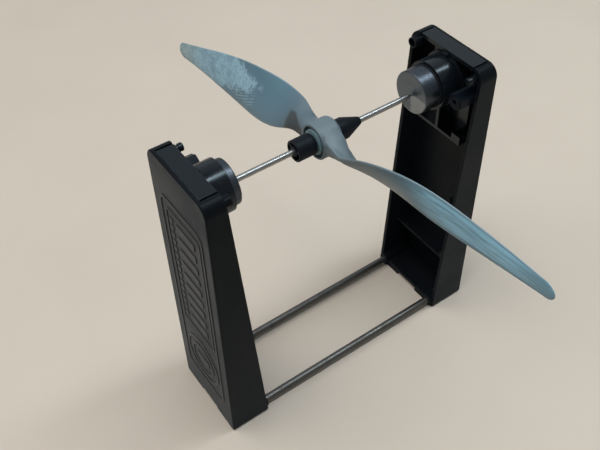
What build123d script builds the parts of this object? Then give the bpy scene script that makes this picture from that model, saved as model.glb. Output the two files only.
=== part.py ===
"""Magnetic propeller balancer: a two-blade propeller clamped on a steel shaft that hangs
between two magnets, carried by two hollow plastic stands joined by two steel rods."""
import os
from math import atan, cos, degrees, exp, pi, radians, sin, sqrt

from build123d import *

os.makedirs("parts", exist_ok=True)

# Stands: X runs along the shaft, Y across the stands, Z up
stand_width = 55.0
stand_height = 185.3
outer_x_top = 87.9
outer_x_bottom = 90.9
rim_x_top = 76.8
rim_x_bottom = 66.1
plate_wall = 2.4
side_wall = 2.2
floor_top = 5.0
top_corner_radius = 7.0
bottom_corner_radius = 2.0
relief_height = 0.4
foot_gap_half_width = 8.8
foot_height = 2.75
ledge_z = 37.6
ledge_front_x = 76.0

# Rods across the base
rod_radius = 2.38
rod_y = 22.4
rod_z = 4.0
rod_boss_radius = 4.0
rod_hole_radius = 2.43
rod_left_x = -86.0
rod_right_x = 84.0

# Magnet brackets
bracket_half_width = 15.4
cap_half_width = 19.9
cap_slot = 1.2
cap_outer_x = 86.1
cap_underside_z = 182.9
magnet_z = 167.4
tube_radius = 14.0
tube_base_radius = 15.2
tube_bore_radius = 12.4
tube_mouth_x = 64.5
tube_bore_end_x = 83.2
shelf_z = 133.0
shelf_half_width = 19.0
disc_radius = 12.2
disc_thickness = 9.2
carrier_radius = 12.34
carrier_length = 9.0
left_disc_face_x = -60.3
right_disc_face_x = 53.7

# Posts and pegs that stand out of the stands
hex_across_flats = 8.6
hex_y = 20.3
hex_z = 168.0
hex_front_x = 66.0
peg_radius = 2.2
peg_y = 22.3
peg_z = 179.4
peg_front_x = 71.3

# Shaft and what it carries
shaft_z = 165.9
shaft_radius = 1.5875
shaft_left_x = -59.2
shaft_right_x = 53.6
shaft_point_length = 2.4
hub_radius = 9.9
hub_front_x = -10.5
hub_rear_x = 2.4
hub_bore_radius = 3.175
hub_recess_radius = 8.4
hub_recess_floor_x = -8.4
ring_radius = 6.9
ring_front_x = -10.85
nut_radius = 5.9
nut_left_x = -22.6
cone_radius = 5.9
cone_shoulder_x = 8.5
cone_tip_x = 18.7
cone_tip_radius = 2.1

# Propeller blades, 12 x 6 inch
propeller_radius = 152.4
propeller_pitch = 152.4
propeller_turn = -10.2
widest_radius = 66.0
widest_chord = 28.1
tip_round_radius = 147.5
blade_root_radius = 5.0
blade_sections = 25
root_half_length = 6.35
root_squareness = 2.6
root_blend_start = 8.0
root_blend_end = 24.0


def outer_x(z):
    """Distance of a stand's outer face from the middle, at height z."""
    return outer_x_bottom + (outer_x_top - outer_x_bottom) * z / stand_height


def rim_x(z):
    """Distance of a stand's open rim from the middle, at height z."""
    return rim_x_bottom + (rim_x_top - rim_x_bottom) * z / stand_height


def back_x(z):
    """Distance of the inside of a stand's outer wall from the middle, at height z."""
    return outer_x(z) - plate_wall


def along_x(x, y, z):
    """Location whose local Z points along +X."""
    return Plane(origin=(x, y, z), x_dir=(0, 1, 0), z_dir=(1, 0, 0)).location


def blade_chord(radius):
    """Blade width at a radius: full near the middle, slim at the root, rounded at the tip."""
    if radius < widest_radius:
        return widest_chord * exp(-(((widest_radius - radius) / 58.4) ** 2.57))
    width = widest_chord * exp(-(((radius - widest_radius) / 80.2) ** 1.85))
    beyond = max(0.0, radius - tip_round_radius) / (propeller_radius - tip_round_radius)
    return width * sqrt(1.0 - beyond**2)


def blade_thickness(radius):
    """Greatest section thickness at a radius."""
    return 2.7 - 0.0122 * radius + 2.5 * exp(-radius / 9.0)


def blade_pitch(radius):
    """Blade angle at a radius, coarser inboard, with a little washout at the tip."""
    pitch = propeller_pitch * (1.0 + 0.106 * exp(-(((radius - 52.0) / 19.7) ** 2)))
    washout = 3.0 * max(0.0, radius - 110.0) / 42.0
    return degrees(atan(pitch / (2 * pi * sqrt(radius**2 + 49.0)))) - washout


def inboard_bulge(radius):
    """1 where the blade leaves the root, fading to 0 on both sides."""
    return exp(-(((radius - 20.9) / 14.0) ** 2))


def blade_sweep(radius):
    """Position of the blade's mid chord along the shaft."""
    inboard = 0.9 * exp(-((radius / 42.0) ** 2)) + 0.26 * inboard_bulge(radius)
    outboard = 3.4 * (max(0.0, radius - 80.0) / 65.0) ** 1.6
    return -3.1 - inboard - outboard


def blade_rise(radius):
    """Position of the blade's mid chord ahead of or behind the hub's centre line."""
    swell = 1.8 * exp(-(((radius - 32.0) / 22.0) ** 2)) + 2.0 * inboard_bulge(radius)
    return 0.5 + swell + 2.86 * exp(-((radius / 14.0) ** 2))


def blade_radius(step):
    """Radius of a blade section, closer together towards the hub and the tip."""
    span = propeller_radius - 0.15 - blade_root_radius
    return blade_root_radius + span * (1.0 - cos(pi * step / blade_sections)) / 2


def root_blend(radius):
    """0 inside the hub, 1 where the root has become a plain blade section."""
    share = (radius - root_blend_start) / (root_blend_end - root_blend_start)
    share = min(1.0, max(0.0, share))
    return share * share * (3.0 - 2.0 * share)


def plain_point(radius, chord, along, height):
    """Point (x, t) of a plain blade section: along runs from leading to trailing edge."""
    angle = radians(blade_pitch(radius))
    step = (along - 0.5) * chord
    x = blade_sweep(radius) + step * sin(angle) - height * cos(angle)
    t = blade_rise(radius) + step * cos(angle) + height * sin(angle)
    return x, t


def blade_point(radius, chord, along, height):
    """Local point of a blade section, eased into an oval where the root joins the hub."""
    x, t = plain_point(radius, chord, along, height)
    mix = root_blend(radius)
    if mix < 1.0:
        middle_x, middle_t = plain_point(radius, chord, 0.45, 0.4 * blade_thickness(radius))
        ray_x, ray_t = x - middle_x, t - middle_t
        half_height = 5.2 + 3.2 * exp(-(radius - blade_root_radius) / 4.5)
        reach = (
            abs(ray_x / root_half_length) ** root_squareness
            + abs(ray_t / half_height) ** root_squareness
        ) ** (-1.0 / root_squareness)
        oval_x = (hub_front_x + hub_rear_x) / 2 + ray_x * reach
        x = oval_x + (x - oval_x) * mix
        t = ray_t * reach + (t - ray_t * reach) * mix
    return (x, -t)


# Stand shells
with BuildPart() as hollow:
    with BuildSketch(Plane.XZ):
        with BuildLine():
            Polyline(
                (-back_x(floor_top), floor_top),
                (-back_x(cap_underside_z), cap_underside_z),
                (-60.0, cap_underside_z),
                (-60.0, floor_top),
                close=True,
            )
        make_face()
    extrude(amount=stand_width / 2 - side_wall, both=True)
    fillet(hollow.edges().filter_by(Axis.X).group_by(Axis.Z)[-1], top_corner_radius - side_wall)
    fillet(hollow.edges().filter_by(Axis.X).group_by(Axis.Z)[0], 1.0)

with BuildPart() as left_stand_shell:
    with BuildSketch(Plane.XZ):
        with BuildLine():
            Polyline(
                (-outer_x_bottom, 0),
                (-outer_x_top, stand_height),
                (-rim_x_top, stand_height),
                (-rim_x_bottom, 0),
                close=True,
            )
        make_face()
    extrude(amount=stand_width / 2, both=True)
    fillet(
        left_stand_shell.edges().filter_by(Axis.X).group_by(Axis.Z)[-1],
        top_corner_radius,
    )
    fillet(
        left_stand_shell.edges().filter_by(Axis.X).group_by(Axis.Z)[0],
        bottom_corner_radius,
    )
    fillet(left_stand_shell.faces().sort_by(Axis.X)[0].edges(), 0.9)
    add(hollow.part, mode=Mode.SUBTRACT)
    with Locations((-78.0, 0, 0)):
        Box(
            40.0,
            2 * foot_gap_half_width,
            2 * foot_height,
            mode=Mode.SUBTRACT,
        )
    for side in (-1, 1):
        with Locations(along_x(-89.0, side * rod_y, rod_z)):
            Cylinder(
                rod_boss_radius,
                89.0 - rim_x_bottom + 1.2,
                align=(Align.CENTER, Align.CENTER, Align.MIN),
            )
        with Locations(along_x(rod_left_x - 0.3, side * rod_y, rod_z)):
            Cylinder(
                rod_hole_radius,
                40.0,
                align=(Align.CENTER, Align.CENTER, Align.MIN),
                mode=Mode.SUBTRACT,
            )
    # Opening in the top wall that the bracket's cap fills
    with Locations((-cap_outer_x, 0, stand_height)):
        Box(
            30.0,
            2 * (cap_half_width + cap_slot),
            2 * (stand_height - cap_underside_z) + 0.4,
            align=(Align.MIN, Align.CENTER, Align.CENTER),
            mode=Mode.SUBTRACT,
        )
    # Ledge across the lower part of the hollow, and two storage hooks on one side wall
    with BuildSketch(Plane.XZ):
        with BuildLine():
            Polyline(
                (-back_x(ledge_z) - 1.0, ledge_z - 1.6),
                (-back_x(ledge_z) - 1.0, ledge_z),
                (-ledge_front_x, ledge_z),
                (-ledge_front_x, ledge_z - 1.6),
                close=True,
            )
        make_face()
    extrude(amount=stand_width / 2 - side_wall + 0.5, both=True)
    for hook_z in (42.5, 90.0):
        with Locations((-75.6, stand_width / 2 - side_wall + 0.5, hook_z)):
            Box(4.2, 6.0, 5.0, align=(Align.CENTER, Align.MAX, Align.CENTER))
        with Locations((-75.6, stand_width / 2 - side_wall - 2.4, hook_z + 1.0)):
            Box(6.0, 2.2, 3.4, mode=Mode.SUBTRACT)
    # Latch socket in the corner opposite the peg
    with Locations(along_x(-back_x(peg_z) - 1.0, -peg_y, peg_z)):
        Cylinder(3.0, back_x(peg_z) + 1.0 - 72.4, align=(Align.CENTER, Align.CENTER, Align.MIN))
    with Locations(along_x(-80.0, -peg_y, peg_z)):
        Cylinder(
            2.35,
            20.0,
            align=(Align.CENTER, Align.CENTER, Align.MIN),
            mode=Mode.SUBTRACT,
        )
    # Seats for the peg and the hexagonal post
    with Locations(along_x(-back_x(peg_z) - 1.3, peg_y, peg_z)):
        Cylinder(
            peg_radius + 0.02,
            6.0,
            align=(Align.CENTER, Align.CENTER, Align.MIN),
            mode=Mode.SUBTRACT,
        )
    with Locations(along_x(-back_x(hex_z) - 1.3, hex_y, hex_z)):
        Cylinder(
            2.62,
            6.0,
            align=(Align.CENTER, Align.CENTER, Align.MIN),
            mode=Mode.SUBTRACT,
        )
    # Plain raised frames, bars and rings on the outer face
    face_z = 91.0
    face_plane = Plane(
        origin=(-outer_x(face_z) + 0.2, 0, face_z),
        x_dir=(0, -1, 0),
        z_dir=(-stand_height, 0, outer_x_bottom - outer_x_top),
    )
    with BuildSketch(face_plane):
        RectangleRounded(41.0, 142.0, 6.0)
        RectangleRounded(38.0, 139.0, 4.6, mode=Mode.SUBTRACT)
    extrude(amount=0.2 + relief_height)
    with BuildSketch(face_plane):
        with Locations((1.0, 21.0)):
            RectangleRounded(33.0, 87.0, 3.0)
            RectangleRounded(31.0, 85.0, 2.2, mode=Mode.SUBTRACT)
    extrude(amount=0.2 + relief_height)
    with BuildSketch(face_plane):
        with Locations((2.6, 21.0)):
            with GridLocations(0, 8.8, 1, 9):
                RectangleRounded(18.0, 4.8, 1.2)
        with Locations((-11.0, 21.0)):
            with GridLocations(0, 5.2, 1, 15):
                RectangleRounded(3.4, 3.2, 0.8)
        with Locations((0, -48.5)):
            Circle(17.0)
            Circle(15.4, mode=Mode.SUBTRACT)
            Circle(11.6)
            Circle(10.2, mode=Mode.SUBTRACT)
            RectangleRounded(14.0, 4.4, 1.2)
    extrude(amount=0.2 + relief_height)
left_stand_shell.part.label = "left_stand_shell"
export_step(left_stand_shell.part, "parts/left_stand_shell.step")

with BuildPart() as right_stand_shell:
    add(left_stand_shell.part, rotation=(0, 0, 180))
right_stand_shell.part.label = "right_stand_shell"
export_step(right_stand_shell.part, "parts/right_stand_shell.step")

# Magnet brackets: a cap flush with the stand's top, a back plate, a tube, a rib and a shelf
with BuildPart() as left_magnet_bracket:
    with BuildSketch(Plane.XZ):
        with BuildLine():
            Polyline(
                (-back_x(shelf_z), shelf_z),
                (-back_x(cap_underside_z), cap_underside_z),
                (-back_x(cap_underside_z) + 2.2, cap_underside_z),
                (-back_x(shelf_z) + 2.2, shelf_z),
                close=True,
            )
        make_face()
    extrude(amount=bracket_half_width, both=True)
    with Locations((-cap_outer_x + 0.1, 0, cap_underside_z)):
        Box(
            cap_outer_x - 0.1 - rim_x_top,
            2 * cap_half_width,
            stand_height - cap_underside_z,
            align=(Align.MIN, Align.CENTER, Align.MIN),
        )
    with Locations(along_x(-84.5, 0, magnet_z)):
        Cylinder(
            tube_radius,
            84.5 - tube_mouth_x,
            align=(Align.CENTER, Align.CENTER, Align.MIN),
        )
        Cylinder(tube_base_radius, 7.5, align=(Align.CENTER, Align.CENTER, Align.MIN))
    with Locations((-84.5, 0, magnet_z)):
        Box(9.5, 3.0, 16.0, align=(Align.MIN, Align.CENTER, Align.MIN))
    with Locations((-85.0, 0, shelf_z)):
        Box(9.0, 2.0, 22.0, align=(Align.MIN, Align.CENTER, Align.MIN))
    with BuildSketch(Plane.XZ):
        with BuildLine():
            Polyline(
                (-back_x(shelf_z) + 0.1, shelf_z - 1.2),
                (-back_x(shelf_z) + 0.1, shelf_z + 0.6),
                (-76.0, shelf_z + 0.6),
                (-76.0, shelf_z - 1.2),
                close=True,
            )
        make_face()
    extrude(amount=shelf_half_width, both=True)
    with Locations((-79.5, shelf_half_width - 3.2, shelf_z)):
        Box(7.0, 6.4, 4.5, align=(Align.CENTER, Align.CENTER, Align.MIN))
    with Locations((-79.5, shelf_half_width - 3.2, shelf_z + 1.4)):
        Box(4.6, 4.2, 6.5, align=(Align.CENTER, Align.CENTER, Align.MIN), mode=Mode.SUBTRACT)
    with Locations(along_x(-tube_bore_end_x, 0, magnet_z)):
        Cylinder(
            tube_bore_radius,
            30.0,
            align=(Align.CENTER, Align.CENTER, Align.MIN),
            mode=Mode.SUBTRACT,
        )
left_magnet_bracket.part.label = "left_magnet_bracket"
export_step(left_magnet_bracket.part, "parts/left_magnet_bracket.step")

with BuildPart() as right_magnet_bracket:
    add(left_magnet_bracket.part, rotation=(0, 0, 180))
right_magnet_bracket.part.label = "right_magnet_bracket"
export_step(right_magnet_bracket.part, "parts/right_magnet_bracket.step")

# Magnet discs and the plastic carriers that slide in the tubes
with BuildPart() as left_magnet_disc:
    with Locations(along_x(left_disc_face_x - disc_thickness, 0, magnet_z)):
        Cylinder(
            disc_radius,
            disc_thickness,
            align=(Align.CENTER, Align.CENTER, Align.MIN),
        )
    fillet(left_magnet_disc.faces().sort_by(Axis.X)[-1].edges(), 0.6)
left_magnet_disc.part.label = "left_magnet_disc"
export_step(left_magnet_disc.part, "parts/left_magnet_disc.step")

with BuildPart() as right_magnet_disc:
    with Locations(along_x(right_disc_face_x, 0, magnet_z)):
        Cylinder(
            disc_radius,
            disc_thickness,
            align=(Align.CENTER, Align.CENTER, Align.MIN),
        )
    fillet(right_magnet_disc.faces().sort_by(Axis.X)[0].edges(), 0.6)
right_magnet_disc.part.label = "right_magnet_disc"
export_step(right_magnet_disc.part, "parts/right_magnet_disc.step")

with BuildPart() as left_magnet_carrier:
    with Locations(
        along_x(left_disc_face_x - disc_thickness - carrier_length, 0, magnet_z)
    ):
        Cylinder(
            carrier_radius,
            carrier_length,
            align=(Align.CENTER, Align.CENTER, Align.MIN),
        )
        Cylinder(
            8.0,
            carrier_length - 2.5,
            align=(Align.CENTER, Align.CENTER, Align.MIN),
            mode=Mode.SUBTRACT,
        )
left_magnet_carrier.part.label = "left_magnet_carrier"
export_step(left_magnet_carrier.part, "parts/left_magnet_carrier.step")

with BuildPart() as right_magnet_carrier:
    with Locations(along_x(right_disc_face_x + disc_thickness, 0, magnet_z)):
        Cylinder(
            carrier_radius,
            carrier_length,
            align=(Align.CENTER, Align.CENTER, Align.MIN),
        )
    with Locations(along_x(right_disc_face_x + disc_thickness + 2.5, 0, magnet_z)):
        Cylinder(
            8.0,
            carrier_length,
            align=(Align.CENTER, Align.CENTER, Align.MIN),
            mode=Mode.SUBTRACT,
        )
right_magnet_carrier.part.label = "right_magnet_carrier"
export_step(right_magnet_carrier.part, "parts/right_magnet_carrier.step")

# Hexagonal posts beside the tubes
with BuildPart() as left_hex_post:
    with BuildSketch(Plane(along_x(-back_x(hex_z) + 0.1, hex_y, hex_z))):
        RegularPolygon(hex_across_flats / 2, 6, major_radius=False, rotation=90)
    extrude(amount=back_x(hex_z) - 0.1 - hex_front_x)
    chamfer(left_hex_post.faces().sort_by(Axis.X)[-1].edges(), 0.5)
    with Locations(along_x(-back_x(hex_z) - 1.2, hex_y, hex_z)):
        Cylinder(2.6, 3.0, align=(Align.CENTER, Align.CENTER, Align.MIN))
    with Locations(along_x(-hex_front_x - 7.0, hex_y, hex_z)):
        Cylinder(
            1.4,
            9.0,
            align=(Align.CENTER, Align.CENTER, Align.MIN),
            mode=Mode.SUBTRACT,
        )
left_hex_post.part.label = "left_hex_post"
export_step(left_hex_post.part, "parts/left_hex_post.step")

with BuildPart() as right_hex_post:
    add(left_hex_post.part, rotation=(0, 0, 180))
right_hex_post.part.label = "right_hex_post"
export_step(right_hex_post.part, "parts/right_hex_post.step")

# Latch pegs in the top corners
with BuildPart() as left_latch_peg:
    with Locations(along_x(-back_x(peg_z) - 1.2, peg_y, peg_z)):
        Cylinder(
            peg_radius,
            back_x(peg_z) + 1.2 - peg_front_x,
            align=(Align.CENTER, Align.CENTER, Align.MIN),
        )
    fillet(left_latch_peg.faces().sort_by(Axis.X)[-1].edges(), 0.6)
    with Locations(along_x(-peg_front_x - 3.0, peg_y, peg_z)):
        Cylinder(peg_radius + 1.0, 1.1, mode=Mode.SUBTRACT)
        Cylinder(peg_radius - 0.5, 2.0)
left_latch_peg.part.label = "left_latch_peg"
export_step(left_latch_peg.part, "parts/left_latch_peg.step")

with BuildPart() as right_latch_peg:
    add(left_latch_peg.part, rotation=(0, 0, 180))
right_latch_peg.part.label = "right_latch_peg"
export_step(right_latch_peg.part, "parts/right_latch_peg.step")

# Rods across the base
with BuildPart() as front_rod:
    with Locations(along_x(rod_left_x, -rod_y, rod_z)):
        Cylinder(
            rod_radius,
            rod_right_x - rod_left_x,
            align=(Align.CENTER, Align.CENTER, Align.MIN),
        )
    chamfer(front_rod.edges().filter_by(GeomType.CIRCLE), 0.5)
front_rod.part.label = "front_rod"
export_step(front_rod.part, "parts/front_rod.step")

with BuildPart() as rear_rod:
    with Locations((0, 2 * rod_y, 0)):
        add(front_rod.part)
rear_rod.part.label = "rear_rod"
export_step(rear_rod.part, "parts/rear_rod.step")

# Balance shaft with pointed ends
with BuildPart() as balance_shaft:
    with BuildSketch(Plane.XZ):
        with BuildLine():
            Polyline(
                (shaft_left_x, shaft_z),
                (shaft_left_x, shaft_z + 0.35),
                (shaft_left_x + shaft_point_length, shaft_z + shaft_radius),
                (shaft_right_x - shaft_point_length, shaft_z + shaft_radius),
                (shaft_right_x, shaft_z + 0.35),
                (shaft_right_x, shaft_z),
                close=True,
            )
        make_face()
    revolve(axis=Axis((0, 0, shaft_z), (1, 0, 0)))
balance_shaft.part.label = "balance_shaft"
export_step(balance_shaft.part, "parts/balance_shaft.step")

# Propeller
with BuildPart() as blade:
    for step in range(blade_sections + 1):
        radius = blade_radius(step)
        chord = blade_chord(radius)
        thick = blade_thickness(radius)
        with BuildSketch(Plane(origin=(0, radius, 0), x_dir=(1, 0, 0), z_dir=(0, 1, 0))):
            with BuildLine():
                nose = blade_point(radius, chord, 0.0, 0.2 * thick)
                tail_top = blade_point(radius, chord, 1.0, 0.2 * thick)
                tail_low = blade_point(radius, chord, 1.0, 0.02 * thick)
                Spline(
                    nose,
                    blade_point(radius, chord, 0.04, 0.56 * thick),
                    blade_point(radius, chord, 0.14, 0.86 * thick),
                    blade_point(radius, chord, 0.32, 1.0 * thick),
                    blade_point(radius, chord, 0.55, 0.88 * thick),
                    blade_point(radius, chord, 0.8, 0.54 * thick),
                    tail_top,
                )
                Line(tail_top, tail_low)
                Spline(
                    tail_low,
                    blade_point(radius, chord, 0.7, 0.0),
                    blade_point(radius, chord, 0.4, 0.0),
                    blade_point(radius, chord, 0.12, 0.0),
                    blade_point(radius, chord, 0.03, 0.04 * thick),
                    nose,
                )
            make_face()
    loft(ruled=True)

with BuildPart() as propeller:
    with Locations(along_x(hub_front_x, 0, shaft_z)):
        Cylinder(
            hub_radius,
            hub_rear_x - hub_front_x,
            align=(Align.CENTER, Align.CENTER, Align.MIN),
        )
    fillet(propeller.faces().sort_by(Axis.X)[-1].edges(), 2.0)
    fillet(propeller.faces().sort_by(Axis.X)[0].edges(), 0.5)
    with Locations((0, 0, shaft_z)):
        add(blade.part, rotation=(propeller_turn, 0, 0))
        add(blade.part, rotation=(propeller_turn + 180, 0, 0))
    with Locations(along_x(hub_recess_floor_x, 0, shaft_z)):
        Cylinder(
            hub_recess_radius,
            20.0,
            align=(Align.CENTER, Align.CENTER, Align.MAX),
            mode=Mode.SUBTRACT,
        )
        Cylinder(hub_bore_radius, 60.0, mode=Mode.SUBTRACT)
    with Locations(along_x(hub_rear_x, 0, shaft_z)):
        Cylinder(
            cone_radius + 0.7,
            20.0,
            align=(Align.CENTER, Align.CENTER, Align.MIN),
            mode=Mode.SUBTRACT,
        )
propeller.part.label = "propeller"
export_step(propeller.part, "parts/propeller.step")

# Reducing bush in the hub's bore
with BuildPart() as hub_bush:
    with Locations(along_x(hub_recess_floor_x, 0, shaft_z)):
        Cylinder(
            hub_bore_radius - 0.02,
            hub_rear_x - hub_recess_floor_x,
            align=(Align.CENTER, Align.CENTER, Align.MIN),
        )
        Cylinder(shaft_radius + 0.02, 60.0, mode=Mode.SUBTRACT)
hub_bush.part.label = "hub_bush"
export_step(hub_bush.part, "parts/hub_bush.step")

# Spacer ring standing in the hub's front recess, just proud of the hub
with BuildPart() as hub_washer:
    with Locations(along_x(ring_front_x, 0, shaft_z)):
        Cylinder(
            ring_radius,
            hub_recess_floor_x - ring_front_x,
            align=(Align.CENTER, Align.CENTER, Align.MIN),
        )
        Cylinder(shaft_radius + 0.02, 60.0, mode=Mode.SUBTRACT)
hub_washer.part.label = "hub_washer"
export_step(hub_washer.part, "parts/hub_washer.step")

# Finger nut with a ribbed recess in its free end
nut_right_x = ring_front_x - 0.05
with BuildPart() as clamp_nut:
    with Locations(along_x(nut_left_x, 0, shaft_z)):
        Cylinder(
            nut_radius,
            nut_right_x - nut_left_x,
            align=(Align.CENTER, Align.CENTER, Align.MIN),
        )
    fillet(clamp_nut.faces().sort_by(Axis.X)[-1].edges(), 2.0)
    fillet(clamp_nut.faces().sort_by(Axis.X)[0].edges(), 0.5)
    with BuildSketch(Plane(along_x(nut_left_x, 0, shaft_z))):
        Circle(nut_radius - 1.1)
        Circle(shaft_radius + 1.1, mode=Mode.SUBTRACT)
        with PolarLocations(0, 3, start_angle=40):
            Rectangle(
                20.0,
                1.1,
                align=(Align.MIN, Align.CENTER),
                mode=Mode.SUBTRACT,
            )
    extrude(amount=6.0, mode=Mode.SUBTRACT)
    with Locations(along_x(nut_left_x, 0, shaft_z)):
        Cylinder(shaft_radius + 0.03, 60.0, mode=Mode.SUBTRACT)
clamp_nut.part.label = "clamp_nut"
export_step(clamp_nut.part, "parts/clamp_nut.step")

# Centring cone behind the hub
with BuildPart() as centring_cone:
    with BuildSketch(Plane.XZ):
        with BuildLine():
            Polyline(
                (hub_rear_x + 0.05, shaft_z + shaft_radius + 0.03),
                (hub_rear_x + 0.05, shaft_z + cone_radius - 0.4),
                (hub_rear_x + 0.45, shaft_z + cone_radius),
                (cone_shoulder_x, shaft_z + cone_radius),
                (cone_tip_x, shaft_z + cone_tip_radius),
                (cone_tip_x, shaft_z + shaft_radius + 0.03),
                close=True,
            )
        make_face()
    revolve(axis=Axis((0, 0, shaft_z), (1, 0, 0)))
centring_cone.part.label = "centring_cone"
export_step(centring_cone.part, "parts/centring_cone.step")
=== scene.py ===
"""Looks of the magnetic propeller balancer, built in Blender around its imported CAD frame."""
from math import atan, cos, exp, pi, radians, sin, sqrt, tau

import bmesh
import bpy
from mathutils import Matrix, Vector


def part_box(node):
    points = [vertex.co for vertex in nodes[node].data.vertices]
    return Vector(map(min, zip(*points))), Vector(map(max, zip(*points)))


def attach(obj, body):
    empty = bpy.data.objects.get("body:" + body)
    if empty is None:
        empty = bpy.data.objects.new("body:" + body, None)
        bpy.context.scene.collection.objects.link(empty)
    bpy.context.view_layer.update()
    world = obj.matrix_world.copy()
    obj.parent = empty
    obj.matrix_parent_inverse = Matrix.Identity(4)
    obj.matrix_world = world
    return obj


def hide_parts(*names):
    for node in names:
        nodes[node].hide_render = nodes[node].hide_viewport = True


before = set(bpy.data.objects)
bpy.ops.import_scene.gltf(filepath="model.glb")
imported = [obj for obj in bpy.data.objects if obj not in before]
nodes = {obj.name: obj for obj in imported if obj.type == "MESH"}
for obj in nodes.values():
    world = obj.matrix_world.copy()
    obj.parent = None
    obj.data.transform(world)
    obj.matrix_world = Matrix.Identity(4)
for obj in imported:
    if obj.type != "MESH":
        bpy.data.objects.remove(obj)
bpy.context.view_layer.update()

slot_of = {name: node.data.materials[0].name for name, node in nodes.items()}
for plain in bpy.data.materials:
    plain.name = "cad_" + plain.name
MM = 0.001

# Outer faces of the stands, in metres: distance from the middle at the foot, how far they have
# leaned in at the top, and the height of the top of their raised relief
OUTER_FOOT_X = 0.0909
OUTER_LEANED_IN = 0.003
OUTER_LEAN = OUTER_LEANED_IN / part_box("left_stand_shell")[1].z
RELIEF_TOP_Z = 0.158
RELIEF_FADE = 0.008

# Camera, in metres and radians, and its lens and sensor in millimetres
CAMERA_PLACE = Vector((-0.186932, -0.249056, 0.427964))
CAMERA_YAW = 0.980815
CAMERA_PITCH = -0.812813
CAMERA_ROLL = -0.0326086
CAMERA_LENS = 47.664
CAMERA_SENSOR = 36.0

# Heights of the axes of the rotor and of the magnets, from the frame
shaft_low, shaft_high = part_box("balance_shaft")
SHAFT_Z = (shaft_low.z + shaft_high.z) / 2
disc_low, disc_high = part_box("right_magnet_disc")
MAGNET_Z = (disc_low.z + disc_high.z) / 2


# Camera and light
def make_camera():
    """Camera above the front left corner, looking down at the whole balancer."""
    forward = Vector((cos(CAMERA_PITCH) * cos(CAMERA_YAW),
                      cos(CAMERA_PITCH) * sin(CAMERA_YAW),
                      sin(CAMERA_PITCH)))
    level = forward.cross(Vector((0, 0, 1))).normalized()
    upright = level.cross(forward)
    right = level * cos(CAMERA_ROLL) + upright * sin(CAMERA_ROLL)
    up = upright * cos(CAMERA_ROLL) - level * sin(CAMERA_ROLL)
    data = bpy.data.cameras.new("camera")
    data.lens = CAMERA_LENS
    data.sensor_width = CAMERA_SENSOR
    data.sensor_fit = "HORIZONTAL"
    data.clip_start = 0.01
    data.clip_end = 20.0
    camera = bpy.data.objects.new("camera", data)
    matrix = Matrix((right, up, -forward)).transposed().to_4x4()
    matrix.translation = CAMERA_PLACE
    camera.matrix_world = matrix
    bpy.context.scene.collection.objects.link(camera)
    bpy.context.scene.camera = camera


def area_light(name, place, target, size, power, colour):
    """Rectangular soft light at a place, turned to a target."""
    data = bpy.data.lights.new(name, "AREA")
    data.shape = "RECTANGLE"
    data.size, data.size_y = size
    data.energy = power
    data.color = colour
    lamp = bpy.data.objects.new(name, data)
    lamp.location = place
    lamp.rotation_mode = "QUATERNION"
    lamp.rotation_quaternion = (Vector(target) - Vector(place)).to_track_quat("-Z", "Y")
    bpy.context.scene.collection.objects.link(lamp)


def make_light():
    """Pale dome, a long soft box overhead, a large one behind and a weak one far off."""
    world = bpy.data.worlds.new("studio")
    world.use_nodes = True
    dome = world.node_tree.nodes["Background"]
    dome.inputs["Color"].default_value = (0.90, 0.95, 1.0, 1.0)
    dome.inputs["Strength"].default_value = 0.32
    bpy.context.scene.world = world
    bpy.context.scene.view_settings.view_transform = "Standard"
    area_light("overhead", place=(0.30, -0.14, 1.25), target=(0.30, -0.14, 0.0),
               size=(1.3, 0.17), power=12.0, colour=(0.84, 0.94, 1.0))
    area_light("back", place=(-1.3, 0.9, 2.6), target=(0.0, 0.0, 0.08),
               size=(2.4, 2.4), power=55.0, colour=(1.0, 0.98, 0.95))
    area_light("far", place=(0.85, 1.45, 1.4), target=(0.0, 0.0, 0.15),
               size=(2.0, 2.0), power=4.5, colour=(0.80, 0.92, 1.0))


make_camera()
make_light()


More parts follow.
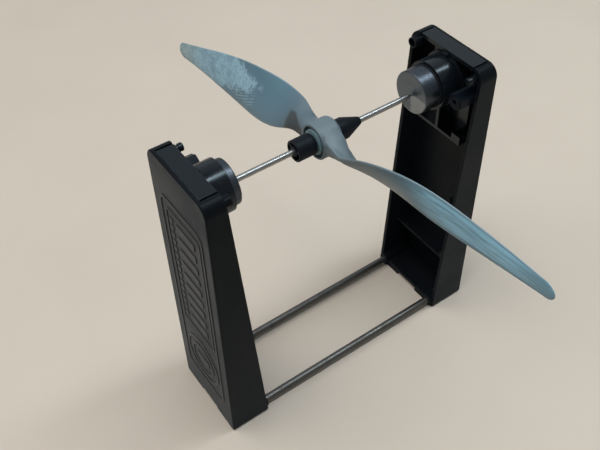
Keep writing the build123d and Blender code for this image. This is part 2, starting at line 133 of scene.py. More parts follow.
# Materials
class Finish:
    """A procedural material: its node tree, with short calls for the nodes used here."""

    def __init__(self, name, **constants):
        self.material = bpy.data.materials.new(name)
        self.material.use_nodes = True
        self.tree = self.material.node_tree
        self.shader = self.tree.nodes["Principled BSDF"]
        for socket, value in constants.items():
            self.shader.inputs[socket.replace("_", " ")].default_value = value
        self.place = self.node("ShaderNodeTexCoord").outputs["Object"]

    def node(self, kind, inputs=None, **settings):
        """Adds a node, sets it and fills its inputs with values or links."""
        made = self.tree.nodes.new(kind)
        for key, value in settings.items():
            setattr(made, key, value)
        for key, value in (inputs or {}).items():
            if isinstance(value, bpy.types.NodeSocket):
                self.tree.links.new(value, made.inputs[key])
            else:
                made.inputs[key].default_value = value
        return made

    def axis(self, name):
        """One object coordinate, in metres."""
        return self.node("ShaderNodeSeparateXYZ", {0: self.place}).outputs[name]

    def facing_x(self):
        """How squarely the surface faces along X, from -1 to 1."""
        normal = self.node("ShaderNodeTexCoord").outputs["Normal"]
        return self.node("ShaderNodeSeparateXYZ", {0: normal}).outputs["X"]

    def attribute(self, name):
        """A number stored on the mesh."""
        return self.node("ShaderNodeAttribute", attribute_name=name).outputs["Fac"]

    def stretched(self, scale):
        """Object coordinates scaled differently along each axis."""
        return self.node("ShaderNodeMapping", {"Vector": self.place, "Scale": scale}).outputs[0]

    def coordinates(self, x, y, z=0.0):
        """Coordinates put together from three numbers."""
        return self.node("ShaderNodeCombineXYZ", {0: x, 1: y, 2: z}).outputs[0]

    def noise(self, scale, detail=3.0, rough=0.55, vector=None):
        """Noise value at a scale given in cells per metre."""
        return self.node("ShaderNodeTexNoise", {
            "Vector": vector or self.place,
            "Scale": scale,
            "Detail": detail,
            "Roughness": rough,
        }).outputs["Fac"]

    def remap(self, value, low, high, out_low=0.0, out_high=1.0, smooth=True):
        """Value moved from one range to another, and held inside it."""
        return self.node("ShaderNodeMapRange", {
            "Value": value,
            "From Min": low,
            "From Max": high,
            "To Min": out_low,
            "To Max": out_high,
        }, interpolation_type="SMOOTHSTEP" if smooth else "LINEAR").outputs["Result"]

    def math(self, operation, first, second=0.0, third=0.0):
        """Result of one arithmetic step."""
        return self.node("ShaderNodeMath", {0: first, 1: second, 2: third},
                         operation=operation).outputs[0]

    def product(self, first, *others):
        """All the values multiplied together."""
        for other in others:
            first = self.math("MULTIPLY", first, other)
        return first

    def apart(self, value, centre):
        """Distance of a value from a centre."""
        return self.math("ABSOLUTE", self.math("SUBTRACT", value, centre))

    def vector_math(self, operation, first, second=None, output=0):
        """Result of one step of vector arithmetic."""
        inputs = {0: first} if second is None else {0: first, 1: second}
        return self.node("ShaderNodeVectorMath", inputs, operation=operation).outputs[output]

    def blend(self, share, first, second):
        """Colour between two colours."""
        return self.node("ShaderNodeMix", {0: share, 6: first, 7: second},
                         data_type="RGBA").outputs[2]

    def bump(self, height, strength, distance, under=None):
        """Normal bent by a height, over another bump."""
        inputs = {"Height": height, "Strength": strength, "Distance": distance}
        if under is not None:
            inputs["Normal"] = under
        return self.node("ShaderNodeBump", inputs).outputs["Normal"]

    def edges(self, radius):
        """1 along convex and concave edges, 0 on open faces."""
        turned = self.node("ShaderNodeBevel", {"Radius": radius}, samples=6).outputs[0]
        flat = self.node("ShaderNodeNewGeometry").outputs["Normal"]
        return self.remap(self.vector_math("DOT_PRODUCT", turned, flat, "Value"), 0.995, 0.86)

    def connect(self, **links):
        """Links values to the shader's sockets, and gives the finished material."""
        for socket, value in links.items():
            self.tree.links.new(value, self.shader.inputs[socket.replace("_", " ")])
        return self.material


# Black plastics: colour, colour where worn, roughness from gloss to matt, grain in cells per metre
BLACK_PLASTICS = {
    "stand_plastic": dict(base=(0.0038, 0.0046, 0.0058, 1.0), worn=(0.036, 0.037, 0.040, 1.0),
                          gloss=0.32, matt=0.46, grain=2600.0, specular=0.07, rubbed=True),
    "bracket_plastic": dict(base=(0.0030, 0.0038, 0.0052, 1.0), worn=(0.030, 0.032, 0.036, 1.0),
                            gloss=0.15, matt=0.25, grain=3200.0, specular=0.34),
    "post_plastic": dict(base=(0.0030, 0.0045, 0.0070, 1.0), worn=(0.022, 0.026, 0.032, 1.0),
                         gloss=0.22, matt=0.34, grain=3200.0, specular=0.05),
    "nut_plastic": dict(base=(0.0045, 0.0055, 0.0078, 1.0), worn=(0.034, 0.036, 0.042, 1.0),
                        gloss=0.44, matt=0.58, grain=3000.0, specular=0.12),
    "carrier_plastic": dict(base=(0.0060, 0.0066, 0.0080, 1.0), worn=(0.036, 0.037, 0.040, 1.0),
                            gloss=0.40, matt=0.54, grain=2200.0, specular=0.12),
}
COOL_SPECULAR = (0.80, 0.93, 1.0, 1.0)
COOL_SHEEN = (0.62, 0.82, 1.0, 1.0)
# Paler colour painted on the stands' outer faces as a sheen: it stands for their grazing
# reflection
PAINTED_SHEEN_COLOUR = (0.030, 0.030, 0.029, 1.0)
RUBBED_COLOUR = (0.060, 0.056, 0.050, 1.0)


def rubbed_relief_and_sheen(finish, colour, cloud):
    """Colour with the relief on the leaning outer faces rubbed paler, and a painted sheen around
    it for their grazing reflection.
    """
    upright_x = finish.math("MULTIPLY_ADD", finish.axis("Z"), OUTER_LEAN,
                            finish.math("ABSOLUTE", finish.axis("X")))
    proud = finish.math("SUBTRACT", upright_x, OUTER_FOOT_X)
    panel = finish.product(
        finish.remap(proud, -0.0006, -0.0002),
        finish.remap(finish.axis("Z"), RELIEF_TOP_Z + RELIEF_FADE, RELIEF_TOP_Z))
    # Painted sheen: the outer faces are made paler where their grazing reflection would lighten
    # them
    painted_sheen = finish.product(panel, finish.remap(cloud, 0.35, 0.65, 0.25, 0.55))
    rub = finish.product(finish.remap(proud, 0.00010, 0.00030),
                         finish.remap(cloud, 0.30, 0.70, 0.35, 0.75))
    rub = finish.math("MAXIMUM", rub, finish.product(finish.edges(0.0004), panel))
    return finish.blend(rub, finish.blend(painted_sheen, colour, PAINTED_SHEEN_COLOUR), RUBBED_COLOUR)


def black_plastic(name, base, worn, gloss, matt, grain, specular, rubbed=False):
    """Moulded black plastic: satin grain, faint scratches, dust, paler worn edges and, on the
    stands, a painted sheen.
    """
    finish = Finish(name, IOR=1.47, Specular_IOR_Level=specular, Specular_Tint=COOL_SPECULAR,
                    Sheen_Weight=0.09, Sheen_Roughness=0.35, Sheen_Tint=COOL_SHEEN)
    cloud = finish.noise(38.0, 4.0)
    upright = finish.noise(60.0, 2.0, vector=finish.stretched((3.0, 60.0, 2.0)))
    level = finish.noise(45.0, 2.0, vector=finish.stretched((2.0, 3.0, 70.0)))
    lines = finish.math("ADD", finish.remap(upright, 0.66, 0.72),
                        finish.remap(level, 0.67, 0.73))
    specks = finish.remap(finish.noise(1500.0, 2.0), 0.70, 0.80)
    edge = finish.product(finish.edges(0.0009),
                          finish.remap(finish.noise(160.0, 3.0), 0.35, 0.75))
    wear = finish.math("ADD", finish.product(edge, 0.7),
                       finish.product(finish.math("ADD", lines, specks), 0.07))
    colour = finish.blend(wear, base, worn)
    # The stands' relief is rubbed paler and their outer faces get a painted sheen
    if rubbed:
        colour = rubbed_relief_and_sheen(finish, colour, cloud)
    rough = finish.math("ADD", finish.remap(cloud, 0.3, 0.7, gloss, matt),
                        finish.product(lines, 0.08))
    pebble = finish.bump(finish.noise(grain, 2.0, 0.6), 0.09, 0.00012)
    normal = finish.bump(finish.noise(190.0, 2.0), 0.05, 0.0006, pebble)
    return finish.connect(Base_Color=colour, Roughness=rough, Normal=normal)


def plain_plastic(name, colours, gloss, cloud_scale, grain, **constants):
    """Clean moulded plastic: faintly cloudy, with a fine grain."""
    finish = Finish(name, **constants)
    cloud = finish.noise(cloud_scale, 4.0)
    return finish.connect(Base_Color=finish.blend(cloud, *colours),
                          Roughness=finish.remap(cloud, 0.3, 0.7, *gloss),
                          Normal=finish.bump(finish.noise(grain), 0.08, 0.0001))


# Magnets: clean and tarnished colours of their faces, darker ones for their sides as painted
# shade, and a paler sector low in front as a painted highlight
MAGNET_FACES = ((0.140, 0.163, 0.190, 1.0), (0.082, 0.096, 0.113, 1.0))
MAGNET_SHADED_SIDES = ((0.070, 0.081, 0.096, 1.0), (0.038, 0.044, 0.052, 1.0))
SECTOR_HIGHLIGHT_COLOUR = (0.52, 0.54, 0.56, 1.0)
HIGHLIGHT_SECTOR_MIDDLE = (0.0, -0.72, -0.69)


def magnet_steel():
    """Metal turned about an axis along X, with fine rings on its faces, painted shade on its sides
    and a painted highlight on its faces.
    """
    finish = Finish("magnet_steel", Metallic=1.0, Anisotropic=0.55)
    centred = finish.vector_math("SUBTRACT", finish.place, (0.0, 0.0, MAGNET_Z))
    flat = finish.vector_math("MULTIPLY", centred, (0.0, 1.0, 1.0))
    radius = finish.vector_math("LENGTH", flat, output="Value")
    rings = finish.noise(5200.0, 4.0, 0.7,
                         vector=finish.coordinates(radius,
                                                   finish.product(finish.axis("X"), 0.7)))
    tarnish = finish.remap(finish.noise(130.0, 4.0), 0.52, 0.74, 0.0, 0.5)
    dull = finish.math("ADD", finish.product(rings, 0.5), tarnish)
    outward = finish.vector_math("NORMALIZE", flat)
    # Paler sector low in front on the faces: a painted highlight
    sector = finish.remap(finish.vector_math("DOT_PRODUCT", outward, HIGHLIGHT_SECTOR_MIDDLE, "Value"),
                          0.70, 0.80, 0.0, 0.30)
    face = finish.blend(sector, finish.blend(dull, *MAGNET_FACES), SECTOR_HIGHLIGHT_COLOUR)
    # Sides get darker colours than the faces of the same steel: painted shade
    on_face = finish.remap(finish.math("ABSOLUTE", finish.facing_x()), 0.6, 0.9)
    colour = finish.blend(on_face, finish.blend(dull, *MAGNET_SHADED_SIDES), face)
    rough = finish.math("ADD", finish.remap(rings, 0.3, 0.7, 0.24, 0.36),
                        finish.product(tarnish, 0.25))
    brushed = finish.node("ShaderNodeTangent", direction_type="RADIAL", axis="X").outputs[0]
    return finish.connect(Base_Color=colour, Roughness=rough, Tangent=brushed,
                          Normal=finish.bump(rings, 0.10, 0.00008))


def drawn_metal(name, colours, gloss, stain_colour, stain, streak_depth=0.0):
    """Drawn or ground bar: streaks along X and a little stain; a drawn one has faint bands."""
    finish = Finish(name, Metallic=1.0)
    streak = finish.noise(1.0, 4.0, 0.65, vector=finish.stretched((18.0, 2600.0, 2600.0)))
    cloud = finish.remap(finish.noise(85.0, 5.0, 0.65), 0.50, 0.72, 0.0, stain)
    colour = finish.blend(cloud, finish.blend(streak, *colours), stain_colour)
    rough = finish.math("ADD", finish.remap(streak, 0.3, 0.7, *gloss),
                        finish.product(cloud, 0.30))
    if streak_depth:
        bands = finish.noise(1.0, 3.0, 0.6, vector=finish.stretched((1500.0, 90.0, 90.0)))
        finish.connect(Normal=finish.bump(bands, streak_depth * 0.5, 0.00003,
                                          finish.bump(streak, streak_depth, 0.00005)))
    return finish.connect(Base_Color=colour, Roughness=rough)


# Propeller: colours of its nylon, of the marks on it and of its moulded hub, with painted shade
# and highlight at the roots and a painted highlight along the edges
NYLON_COLOURS = ((0.074, 0.143, 0.184, 1.0), (0.096, 0.178, 0.226, 1.0))
STREAK_COLOUR = (0.285, 0.560, 0.730, 1.0)
POWDER_COLOURS = ((0.310, 0.485, 0.575, 1.0), (0.370, 0.450, 0.440, 1.0))
EDGE_HIGHLIGHT_COLOUR = (0.36, 0.44, 0.48, 1.0)
HUB_COLOUR = (0.104, 0.128, 0.142, 1.0)
FIRST_ROOT_SHADE_COLOUR = (0.068, 0.089, 0.104, 1.0)
SECOND_ROOT_HIGHLIGHT_COLOUR = (0.122, 0.150, 0.162, 1.0)
ROOT_PATCH_COLOUR = (0.030, 0.031, 0.030, 1.0)


class NylonFinish(Finish):
    """The propeller's material, with its marks placed along and across the blades.

    The span is in millimetres from the shaft, above 0 on the first blade and below 0 on the
    second. Chordwise is 0 at a blade's leading edge and 1 at its trailing edge.
    """

    def __init__(self):
        super().__init__("propeller_nylon", IOR=1.5, Specular_IOR_Level=0.30)
        self.span = self.attribute("span")
        self.chordwise = self.attribute("chordwise")
        self.reach = self.math("ABSOLUTE", self.span)
        self.in_front = self.remap(self.facing_x(), 0.10, -0.15)
        self.second_blade = self.remap(self.span, -56.0, -90.0)

    def streaks(self):
        """Long lighter streaks, strongest past the middle of the second blade."""
        place = self.coordinates(self.product(self.span, 0.055),
                                 self.product(self.chordwise, 19.0),
                                 self.product(self.axis("X"), 60.0))
        fibre = self.noise(1.0, 5.0, 0.62, vector=place)
        band = self.product(self.remap(self.chordwise, 0.0, 0.10),
                            self.remap(self.chordwise, 1.0, 0.75))
        return self.product(
            self.remap(fibre, 0.32, 0.62, 0.34, 1.0), band, self.second_blade,
            self.remap(self.reach, 150.0, 128.0, 0.35, 1.0),
            self.remap(self.in_front, 0.0, 1.0, 0.35, 1.0))

    def scuff(self):
        """Powdery scuff on the outer half of the first blade, ragged at its inner end."""
        lobes = self.remap(self.noise(120.0, 6.0, 0.72), 0.25, 0.75, -11.0, 13.0, smooth=False)
        teeth = self.remap(self.noise(520.0, 3.0, 0.6), 0.25, 0.75, -6.0, 6.0, smooth=False)
        slant = self.product(self.apart(self.chordwise, 0.62), -75.0)
        ragged = self.math("ADD", self.span, self.math("ADD", lobes, teeth))
        inner_end = self.math("MINIMUM", self.math("ADD", ragged, slant),
                              self.math("MULTIPLY_ADD", self.span, 1.5, -27.0))
        powder = self.remap(self.noise(620.0, 8.0, 0.80), 0.38, 0.58, 0.45, 1.0)
        patchy = self.remap(self.noise(75.0, 5.0, 0.7), 0.36, 0.60, 0.50, 1.0)
        return self.product(
            self.remap(inner_end, 58.0, 67.0), self.remap(self.chordwise, 0.02, 0.10), powder,
            self.math("MAXIMUM", patchy, self.remap(self.span, 108.0, 84.0)))

    def scratches(self):
        """Short slanting scratches at the scuff's inner end."""
        across = self.math("MULTIPLY_ADD", self.chordwise, 35.0, self.product(self.span, 0.41))
        along = self.math("MULTIPLY_ADD", self.chordwise, -10.7, self.span)
        wobble = self.product(self.noise(90.0, 2.0), 3.5)
        ripple = self.math("SINE", self.math("MULTIPLY_ADD", across, 2.9, wobble))
        place = self.coordinates(self.product(along, 0.16), self.product(across, 0.70))
        gaps = self.noise(1.0, 3.0, vector=place)
        patch = self.product(self.remap(self.apart(self.span, 76.0), 14.0, 8.0, 0.0, 0.75),
                             self.remap(self.apart(self.chordwise, 0.34), 0.24, 0.14))
        return self.product(self.remap(ripple, 0.35, 0.90), self.remap(gaps, 0.42, 0.52), patch)

    def edge_highlights(self):
        """Painted highlight along both edges of the blades, away from the hub."""
        edge = self.math("ADD", self.remap(self.chordwise, 0.050, 0.0),
                         self.remap(self.chordwise, 0.970, 1.0))
        return self.product(edge, self.remap(self.reach, 14.0, 30.0, 0.0, 0.42))

    def with_grey_hub_and_painted_roots(self, colour):
        """Colour going over to a greyer hub, with painted shade on the first blade's root and a
        painted highlight on the second's.
        """
        # Painted shade darkens the first blade's root
        root = self.blend(self.remap(self.span, 6.0, 16.0), HUB_COLOUR, FIRST_ROOT_SHADE_COLOUR)
        # Painted highlight lightens the second blade's root
        root = self.blend(self.remap(self.span, -9.0, -16.0), root, SECOND_ROOT_HIGHLIGHT_COLOUR)
        second_root_highlight = self.product(self.remap(self.span, -86.0, -30.0),
                                   self.remap(self.span, -8.0, -16.0))
        near = self.math("MAXIMUM", self.remap(self.reach, 48.0, 14.0), second_root_highlight)
        return self.blend(self.product(near, 0.85), colour, root)

    def root_dark_patch(self):
        """Dark patch on the leading half of the first blade, close to the hub."""
        from_hub = self.math("MULTIPLY_ADD", self.math("MAXIMUM", self.chordwise, 0.0), -20.0,
                             self.span)
        return self.product(self.remap(self.span, 28.0, 25.0), self.remap(from_hub, 9.9, 11.6),
                            self.remap(self.chordwise, 0.58, 0.48), 0.80)


def propeller_nylon():
    """Blue-grey glass-filled nylon with scuffs on one blade and long streaks on the other, and
    painted shade and highlights at the roots and edges.
    """
    finish = NylonFinish()
    mottle = finish.noise(55.0, 4.0)
    colour = finish.blend(finish.streaks(), finish.blend(mottle, *NYLON_COLOURS), STREAK_COLOUR)
    scuff = finish.product(finish.math("MAXIMUM", finish.scuff(), finish.scratches()),
                           finish.in_front)
    powder = finish.blend(finish.remap(finish.span, 120.0, 148.0), *POWDER_COLOURS)
    colour = finish.blend(finish.product(scuff, 0.80), colour, powder)
    # Paler band along both blade edges: a painted highlight
    colour = finish.blend(finish.edge_highlights(), colour, EDGE_HIGHLIGHT_COLOUR)
    colour = finish.blend(finish.root_dark_patch(), finish.with_grey_hub_and_painted_roots(colour), ROOT_PATCH_COLOUR)
    worn = finish.math("ADD", scuff, finish.product(finish.second_blade, 0.7))
    rough = finish.math("ADD", finish.remap(mottle, 0.3, 0.7, 0.26, 0.36),
                        finish.product(worn, 0.26))
    rough = finish.math("ADD", rough, finish.remap(finish.reach, 70.0, 25.0, 0.0, 0.14))
    grain = finish.bump(finish.noise(1900.0, 3.0, 0.6), 0.10, 0.0001)
    return finish.connect(Base_Color=colour, Roughness=rough, Normal=grain)


def floor_stone():
    """Plain pale floor with a faint mottle."""
    finish = Finish("floor_stone", Specular_IOR_Level=0.3)
    cloud = finish.noise(9.0, 6.0, 0.65)
    colour = finish.blend(cloud, (0.475, 0.405, 0.335, 1.0), (0.53, 0.46, 0.385, 1.0))
    return finish.connect(Base_Color=colour, Roughness=finish.remap(cloud, 0.3, 0.7, 0.62, 0.75))


def make_finishes():
    """Every material of the object, by name."""
    made = [black_plastic(name, **look) for name, look in BLACK_PLASTICS.items()]
    made += [
        magnet_steel(),
        propeller_nylon(),
        plain_plastic("bush_plastic", ((0.62, 0.61, 0.57, 1.0), (0.50, 0.49, 0.45, 1.0)),
                      gloss=(0.32, 0.5), cloud_scale=240.0, grain=2800.0,
                      IOR=1.53, Subsurface_Weight=0.05),
        plain_plastic("ring_plastic", ((0.122, 0.200, 0.220, 1.0), (0.168, 0.262, 0.286, 1.0)),
                      gloss=(0.42, 0.55), cloud_scale=260.0, grain=2400.0,
                      IOR=1.5, Specular_IOR_Level=0.3),
        drawn_metal("rod_steel", ((0.150, 0.147, 0.138, 1.0), (0.080, 0.078, 0.073, 1.0)),
                    gloss=(0.34, 0.50), stain_colour=(0.050, 0.042, 0.036, 1.0), stain=0.7,
                    streak_depth=0.25),
        drawn_metal("shaft_steel", ((0.36, 0.36, 0.35, 1.0), (0.25, 0.25, 0.245, 1.0)),
                    gloss=(0.30, 0.37), stain_colour=(0.16, 0.155, 0.145, 1.0), stain=0.35),
    ]
    return {material.name: material for material in made}


finishes = make_finishes()

# Shapes: distances in metres, angles in degrees
FLOOR_HALF_WIDTH = 4.0
MERGE_DISTANCE = 2e-6
FLAT_DEGREES = 0.6
HARD_DEGREES = 28.0
SHARP_DEGREES = 32.0
PROPELLER_SHARP_DEGREES = 38.0

# Widths that hard edges are rounded over, in metres
STAND_ROUNDING = 0.00022
BRACKET_ROUNDING = 0.00030
POST_ROUNDING = 0.00015
NUT_ROUNDING = 0.00020
CONE_ROUNDING = 0.00030


def new_object(name, mesh_data):
    """Object in the scene that holds a mesh."""
    made = bpy.data.objects.new(name, mesh_data)
    bpy.context.scene.collection.objects.link(made)
    return made


def from_bmesh(name, shape, sharp_degrees=SHARP_DEGREES):
    """Mesh object from a bmesh, smooth except across sharp edges."""
    bmesh.ops.recalc_face_normals(shape, faces=shape.faces)
    data = bpy.data.meshes.new(name)
    shape.to_mesh(data)
    shape.free()
    data.shade_smooth()
    data.set_sharp_from_angle(angle=radians(sharp_degrees))
    return new_object(name, data)


def make_floor():
    """Large pale floor under the stands."""
    shape = bmesh.new()
    bmesh.ops.create_grid(shape, x_segments=8, y_segments=8, size=FLOOR_HALF_WIDTH)
    floor = from_bmesh("floor", shape)
    floor.data.materials.append(floor_stone())


def rounded_copy(name, node, width, body, segments=2, look=None):
    """Piece that stands for a CAD node, with every hard edge rounded over a width."""
    shape = bmesh.new()
    shape.from_mesh(nodes[node].data)
    bmesh.ops.remove_doubles(shape, verts=shape.verts, dist=MERGE_DISTANCE)
    bmesh.ops.dissolve_limit(shape, angle_limit=radians(FLAT_DEGREES), verts=shape.verts,
                             edges=shape.edges, use_dissolve_boundaries=False)
    hard = [edge for edge in shape.edges
            if edge.is_manifold and edge.calc_face_angle() > radians(HARD_DEGREES)]
    bmesh.ops.bevel(shape, geom=hard, offset=width, offset_type="OFFSET", segments=segments,
                    profile=0.5, affect="EDGES", clamp_overlap=True)
    for layer in list(shape.loops.layers.float_vector.values()):
        shape.loops.layers.float_vector.remove(layer)
    piece = from_bmesh(name, shape)
    weighted = piece.modifiers.new("even_shading", "WEIGHTED_NORMAL")
    weighted.keep_sharp = True
    slot = slot_of[node]
    piece.data.materials.clear()
    piece.data.materials.append(finishes[look or slot])
    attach(piece, body)
    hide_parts(node)


def rounded_outline(corners, steps=5):
    """Points of a closed outline whose corners, given as (x, y, radius), are arcs."""
    points = []
    for index, (x, y, radius) in enumerate(corners):
        here = Vector((x, y))
        if radius == 0:
            points.append(here)
            continue
        before = (Vector(corners[index - 1][:2]) - here).normalized()
        after = (Vector(corners[(index + 1) % len(corners)][:2]) - here).normalized()
        half = before.angle(after) / 2
        centre = here + (before + after).normalized() * radius / sin(half)
        start = here + before * radius * cos(half) / sin(half) - centre
        end = here + after * radius * cos(half) / sin(half) - centre
        sweep = start.angle_signed(end)
        for step in range(steps + 1):
            turned = start.copy()
            turned.rotate(Matrix.Rotation(-sweep * step / steps, 2))
            points.append(centre + turned)
    return points


def bridge(shape, ring, following):
    """Adds the faces between two closed rings with equal numbers of points."""
    for index in range(len(ring)):
        after = (index + 1) % len(ring)
        shape.faces.new((ring[index], ring[after], following[after], following[index]))


def lathe(outline, axis_z, segments=96):
    """Bmesh of an outline of (x, radius) points, in millimetres, turned about an axis along X."""
    shape = bmesh.new()
    rings = []
    for index in range(segments):
        turn = tau * index / segments
        rings.append([shape.verts.new((x * MM, r * MM * sin(turn), axis_z + r * MM * cos(turn)))
                      for x, r in outline])
    for ring, following in zip(rings, rings[1:] + rings[:1]):
        bridge(shape, ring, following)
    bmesh.ops.remove_doubles(shape, verts=shape.verts, dist=1e-7)
    bmesh.ops.dissolve_degenerate(shape, edges=shape.edges, dist=1e-8)
    bmesh.ops.recalc_face_normals(shape, faces=shape.faces)
    return shape


def combined(base, others, operation):
    """Bmesh of a solid joined with or cut by other solids, all given as bmeshes."""
    holders = []
    for shape in [base] + others:
        data = bpy.data.meshes.new("working")
        shape.to_mesh(data)
        shape.free()
        holders.append(new_object("working", data))
    for other in holders[1:]:
        cut = holders[0].modifiers.new("cut", "BOOLEAN")
        cut.operation = operation
        cut.solver = "EXACT"
        cut.object = other
    graph = bpy.context.evaluated_depsgraph_get()
    result = bmesh.new()
    result.from_mesh(holders[0].evaluated_get(graph).to_mesh())
    for holder in holders:
        bpy.data.objects.remove(holder)
    return result


# Propeller, in millimetres: the same laws as the CAD blades, with rounder sections
TIP_RADIUS = 152.4
PITCH = 152.4
ROOT_RADIUS = 5.0
TIP_ROUND_RADIUS = 147.5
TIP_GAP = 0.01
BLADE_TURN = radians(-10.2)
BLADE_RINGS = 110
RING_CROWDING = 1.5

# Hub, the recess in its front and the bore through it
HUB_RADIUS = 9.9
HUB_FRONT = -10.5
HUB_REAR = 2.4
HUB_FRONT_ROUND = 0.7
HUB_REAR_ROUND = 2.2
HUB_BORE = 3.175
RECESS_RADIUS = 8.4
RECESS_FLOOR = -8.4
RECESS_ROUND = 0.25
RECESS_FLARE = 0.25
RECESS_FLARE_DEPTH = 0.4
CONE_CLEARANCE = 6.6
CUT_PAST = 12.0

# Root, where a squarish oval eases into the blade sections
ROOT_LENGTH = 6.35
ROOT_SQUARENESS = 2.6
ROOT_HALF_HEIGHT = 5.2
ROOT_FLARE = 3.2
ROOT_FLARE_FADE = 4.5
BLEND_START = 8.0
BLEND_END = 24.0

# Thickness: at the shaft, its loss with each millimetre, and the extra at the root
THICKNESS = 2.7
THINNING = 0.0122
ROOT_THICKENING = 2.5
ROOT_THICKENING_FADE = 9.0

# Twist: the share by which the pitch swells, the softening at the hub and the tip's washout
PITCH_GAIN = 0.106
HUB_SOFTENING = 7.0
WASHOUT = radians(3.0)
WASHOUT_START = 110.0
WASHOUT_LENGTH = 42.0

# Middle of the chord, along and across the shaft, before the swells
MID_CHORD_X = -3.1
MID_CHORD_RISE = 0.5

# Tip: how far the blades sweep along the shaft, and where they start to
TIP_SWEEP = 3.4
TIP_SWEEP_START = 80.0
TIP_SWEEP_LENGTH = 65.0
TIP_SWEEP_POWER = 1.6

# Swells along the blades: centre, spread and, where it isn't 2, the power of the fall
WIDEST_CHORD = 28.1
WIDEST_RADIUS = 66.0
INNER_TAPER = (WIDEST_RADIUS, 58.4, 2.57)
OUTER_TAPER = (WIDEST_RADIUS, 80.2, 1.85)
PITCH_SWELL = (52.0, 19.7)
INBOARD_BULGE = (20.9, 14.0)
HUB_SWEEP = (0.0, 42.0)
HUB_RISE = (0.0, 14.0)
INBOARD_RISE = (32.0, 22.0)

# Section, in shares of the chord and of the thickness
NOSE_LENGTH = 0.1
NOSE_RISE = 0.191
TAIL_ROUND = 0.006


def swell(radius, centre, spread, power=2):
    """1 at a centre, falling smoothly to 0 on both sides of it."""
    return exp(-((abs(radius - centre) / spread) ** power))


def past_round(radius):
    """0 where the tip starts to round off, 1 at its end."""
    return max(0.0, radius - TIP_ROUND_RADIUS) / (TIP_RADIUS - TIP_ROUND_RADIUS)


def blade_chord(radius):
    """Blade width: slim root, widest at a good third, rounded tip."""
    if radius < WIDEST_RADIUS:
        return WIDEST_CHORD * swell(radius, *INNER_TAPER)
    width = WIDEST_CHORD * swell(radius, *OUTER_TAPER)
    return width * sqrt(max(0.0, 1.0 - past_round(radius) ** 2))


def blade_thickness(radius):
    """Greatest thickness of a section, thinned as the tip ends."""
    thick = (THICKNESS - THINNING * radius
             + ROOT_THICKENING * exp(-radius / ROOT_THICKENING_FADE))
    return thick * sqrt(max(0.04, 1.0 - past_round(radius) ** 4))


def blade_pitch(radius):
    """Blade angle, coarser inboard, with a little washout at the tip."""
    pitch = PITCH * (1.0 + PITCH_GAIN * swell(radius, *PITCH_SWELL))
    washout = WASHOUT * max(0.0, radius - WASHOUT_START) / WASHOUT_LENGTH
    return atan(pitch / (2 * pi * sqrt(radius ** 2 + HUB_SOFTENING ** 2))) - washout


def blade_sweep(radius):
    """Place of the mid chord along the shaft."""
    inboard = 0.9 * swell(radius, *HUB_SWEEP) + 0.26 * swell(radius, *INBOARD_BULGE)
    past = max(0.0, radius - TIP_SWEEP_START) / TIP_SWEEP_LENGTH
    return MID_CHORD_X - inboard - TIP_SWEEP * past ** TIP_SWEEP_POWER


def blade_rise(radius):
    """Place of the mid chord across the shaft."""
    inboard = 1.8 * swell(radius, *INBOARD_RISE) + 2.0 * swell(radius, *INBOARD_BULGE)
    return MID_CHORD_RISE + inboard + 2.86 * swell(radius, *HUB_RISE)


def section_top(s):
    """Height of a section's cambered side: an aerofoil curve, fuller at nose and tail."""
    curve = 0.2969 * sqrt(s) - 0.126 * s - 0.3516 * s ** 2 + 0.2843 * s ** 3 - 0.1036 * s ** 4
    return 0.955 * (10.0 * curve + 0.16 * s + 0.2 * (1.0 - s) ** 14)


def section_low(s):
    """Height of a section's flat side, rounded up at the leading edge."""
    nose = min(1.0, s / NOSE_LENGTH)
    return NOSE_RISE * (1.0 - sqrt(nose * (2.0 - nose)))


def section_outline(top_steps=30, low_steps=22, tail_steps=4):
    """Points round a blade section, as (share of chord, share of thickness)."""
    top = [(1.0 - cos(pi * k / top_steps)) / 2 for k in range(top_steps + 1)]
    low = [(1.0 + cos(pi * k / low_steps)) / 2 for k in range(low_steps + 1)]
    tail_half = section_top(1.0) / 2
    tail = [pi / 2 - pi * k / tail_steps for k in range(1, tail_steps)]
    return ([(s, section_top(s)) for s in top]
            + [(1.0 + TAIL_ROUND * cos(a), tail_half * (1.0 + sin(a))) for a in tail]
            + [(s, section_low(s)) for s in low[:-1]])


def blend_in(radius):
    """0 in the hub, 1 where the root has become a plain blade section."""
    share = min(1.0, max(0.0, (radius - BLEND_START) / (BLEND_END - BLEND_START)))
    return share * share * (3.0 - 2.0 * share)


def section_points(radius, outline):
    """Section at a radius as (x, t) points: an oval in the hub, easing into a blade section."""
    chord, thick, angle = blade_chord(radius), blade_thickness(radius), blade_pitch(radius)
    points = []
    for s, share in outline:
        step, height = (s - 0.5) * chord, share * thick
        points.append(Vector((blade_sweep(radius) + step * sin(angle) - height * cos(angle),
                              blade_rise(radius) + step * cos(angle) + height * sin(angle))))
    mix = blend_in(radius)
    if mix == 1.0:
        return points
    middle = sum(points, Vector((0.0, 0.0))) / len(points)
    half_height = ROOT_HALF_HEIGHT + ROOT_FLARE * exp(-(radius - ROOT_RADIUS) / ROOT_FLARE_FADE)
    eased = []
    for point in points:
        ray = (point - middle).normalized()
        reach = (abs(ray.x / ROOT_LENGTH) ** ROOT_SQUARENESS
                 + abs(ray.y / half_height) ** ROOT_SQUARENESS) ** (-1.0 / ROOT_SQUARENESS)
        oval = Vector(((HUB_FRONT + HUB_REAR) / 2, 0.0)) + ray * reach
        eased.append(oval.lerp(point, mix))
    return eased


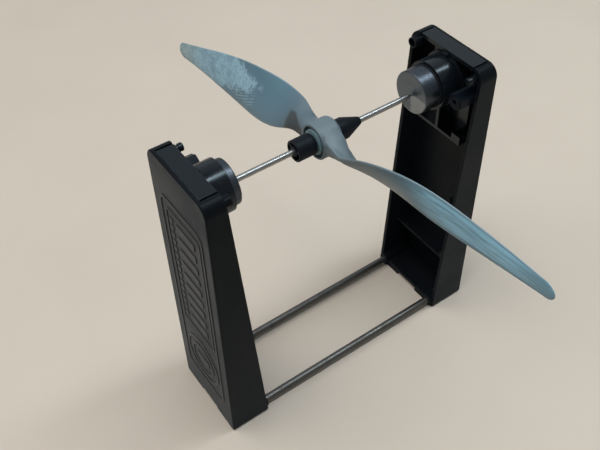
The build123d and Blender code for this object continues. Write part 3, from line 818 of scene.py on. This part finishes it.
def blade_solid(half_turn):
    """Closed bmesh of one blade; the second blade is the first one turned half way round."""
    shape = bmesh.new()
    outline = section_outline()
    turn = BLADE_TURN + half_turn
    length = TIP_RADIUS - TIP_GAP - ROOT_RADIUS
    rings = []
    for k in range(BLADE_RINGS + 1):
        radius = ROOT_RADIUS + length * (1.0 - (1.0 - k / BLADE_RINGS) ** RING_CROWDING)
        ring = []
        for x, t in section_points(radius, outline):
            ring.append(shape.verts.new((x * MM,
                                         (radius * cos(turn) - t * sin(turn)) * MM,
                                         SHAFT_Z + (radius * sin(turn) + t * cos(turn)) * MM)))
        rings.append(ring)
    for ring, following in zip(rings, rings[1:]):
        bridge(shape, ring, following)
    shape.faces.new(rings[0])
    shape.faces.new(rings[-1])
    bmesh.ops.recalc_face_normals(shape, faces=shape.faces)
    return shape


def blade_place(point):
    """Signed distance along the blades and share of the chord at a point on the propeller."""
    y, z = point.y / MM, (point.z - SHAFT_Z) / MM
    span = y * cos(BLADE_TURN) + z * sin(BLADE_TURN)
    t = z * cos(BLADE_TURN) - y * sin(BLADE_TURN)
    radius = min(abs(span), TIP_ROUND_RADIUS)
    angle = blade_pitch(radius)
    across = (t if span > 0 else -t) - blade_rise(radius)
    step = (point.x / MM - blade_sweep(radius)) * sin(angle) + across * cos(angle)
    return span, step / blade_chord(radius) + 0.5


def make_propeller():
    """Hub with a recessed front and two blades, one moulded piece."""
    hub = lathe(rounded_outline([
        (HUB_FRONT, 0.0, 0), (HUB_FRONT, HUB_RADIUS, HUB_FRONT_ROUND),
        (HUB_REAR, HUB_RADIUS, HUB_REAR_ROUND), (HUB_REAR, 0.0, 0)]), SHAFT_Z)
    body = combined(hub, [blade_solid(0.0), blade_solid(pi)], "UNION")
    hollow = lathe(rounded_outline([
        (HUB_FRONT - CUT_PAST, 0.0, 0),
        (HUB_FRONT - CUT_PAST, RECESS_RADIUS + 2 * RECESS_FLARE, 0),
        (HUB_FRONT, RECESS_RADIUS + RECESS_FLARE, 0),
        (HUB_FRONT + RECESS_FLARE_DEPTH, RECESS_RADIUS, 0),
        (RECESS_FLOOR, RECESS_RADIUS, RECESS_ROUND), (RECESS_FLOOR, HUB_BORE, 0),
        (HUB_REAR, HUB_BORE, 0), (HUB_REAR, CONE_CLEARANCE, 0),
        (HUB_REAR + CUT_PAST, CONE_CLEARANCE, 0), (HUB_REAR + CUT_PAST, 0.0, 0)]), SHAFT_Z)
    body = combined(body, [hollow], "DIFFERENCE")
    bmesh.ops.remove_doubles(body, verts=body.verts, dist=MERGE_DISTANCE)
    piece = from_bmesh("two_blade_propeller", body, PROPELLER_SHARP_DEGREES)
    for name, index in (("span", 0), ("chordwise", 1)):
        values = piece.data.attributes.new(name, "FLOAT", "POINT")
        values.data.foreach_set("value", [blade_place(v.co)[index] for v in piece.data.vertices])
    piece.data.materials.clear()
    piece.data.materials.append(finishes["propeller_nylon"])
    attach(piece, "rotor")
    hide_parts("propeller")


make_floor()
make_propeller()

for name, node in nodes.items():
    node.material_slots[0].material = finishes[slot_of[name]]

for side, body in (("left", "base"), ("right", "right_stand")):
    rounded_copy(side + "_stand", side + "_stand_shell", STAND_ROUNDING, body)
    rounded_copy(side + "_bracket", side + "_magnet_bracket", BRACKET_ROUNDING, body)
    rounded_copy(side + "_post", side + "_hex_post", POST_ROUNDING, body, look="post_plastic")
rounded_copy("finger_nut", "clamp_nut", NUT_ROUNDING, "finger_nut")
rounded_copy("cone", "centring_cone", CONE_ROUNDING, "cone", segments=3)
